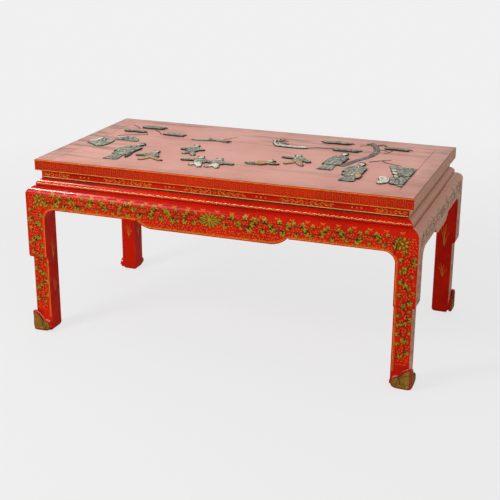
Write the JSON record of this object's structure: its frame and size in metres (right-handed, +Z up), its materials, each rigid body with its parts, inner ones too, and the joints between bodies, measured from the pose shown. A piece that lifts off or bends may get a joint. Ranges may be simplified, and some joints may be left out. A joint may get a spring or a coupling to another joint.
{
  "type": "lacquer table",
  "caption": "Low rectangular waisted table in red lacquer with gilt painting, scalloped aprons, curling leaf feet and a scene of applied stone relief on its top.",
  "frame": {"origin": "on the floor under the middle of the table", "axes": "+X along the table's length to the right, front side towards -Y, +Z up"},
  "size_m": [1.006, 0.552, 0.4652],
  "materials": {
    "red_lacquer": "glossy vermilion lacquer with gilt and dark green painting",
    "top_lacquer": "glossy red lacquer, faded and rubbed on the top face, gilt fret on the edge",
    "plain_wood": "thin dark red wash on bare wood",
    "figure_stone": "carved soapstone, cream and grey-green, waxed",
    "green_stone": "carved grey-green soapstone, waxed",
    "gilt_paint": "gold powder painted on the lacquer, satin",
    "leaf_paint": "olive gold painted leaves and flowers, satin",
    "ink_paint": "dark green outlines and veins",
    "cream_stone": "pale soapstone of faces, hands and lighter dress, waxed",
    "amber_stone": "warm yellow-brown soapstone of some of the dress, waxed",
    "dark_stone": "dark soapstone of hair, caps and shoes, waxed",
    "bark_stone": "thin brown stone and painted twigs"
  },
  "bodies": {
    "root": {"apron_back": "red_lacquer", "apron_front": "red_lacquer", "apron_left": "red_lacquer", "apron_right": "red_lacquer", "batten_left": "plain_wood", "batten_middle": "plain_wood", "batten_right": "plain_wood", "frame_end_left": "top_lacquer", "frame_end_right": "top_lacquer", "frame_rail_back": "top_lacquer", "frame_rail_front": "top_lacquer", "leg_back_left": "red_lacquer", "leg_back_right": "red_lacquer", "leg_front_left": "red_lacquer", "leg_front_right": "red_lacquer", "moulding_back": "red_lacquer", "moulding_front": "red_lacquer", "moulding_left": "red_lacquer", "moulding_right": "red_lacquer", "relief_branches_left": "bark_stone", "relief_branches_middle": "bark_stone", "relief_branches_right": "bark_stone", "relief_child_left": "figure_stone", "relief_child_lying": "figure_stone", "relief_child_middle": "figure_stone", "relief_child_right": "figure_stone", "relief_children_group": "figure_stone", "relief_crane": "figure_stone", "relief_figure_left": "figure_stone", "relief_figure_tall": "figure_stone", "relief_figure_under_tree": "figure_stone", "relief_pine_far_right": "green_stone", "relief_pine_left_high": "green_stone", "relief_pine_left_low": "green_stone", "relief_pine_left_near": "green_stone", "relief_pine_right_high": "green_stone", "relief_pine_right_low": "green_stone", "relief_rock_behind": "green_stone", "relief_rock_left": "green_stone", "relief_seated_pair": "figure_stone", "relief_swallow": "figure_stone", "relief_tree_trunk": "bark_stone", "top_panel": "top_lacquer", "waist_back": "red_lacquer", "waist_front": "red_lacquer", "waist_left": "red_lacquer", "waist_right": "red_lacquer"}
  },
  "joints": []
}
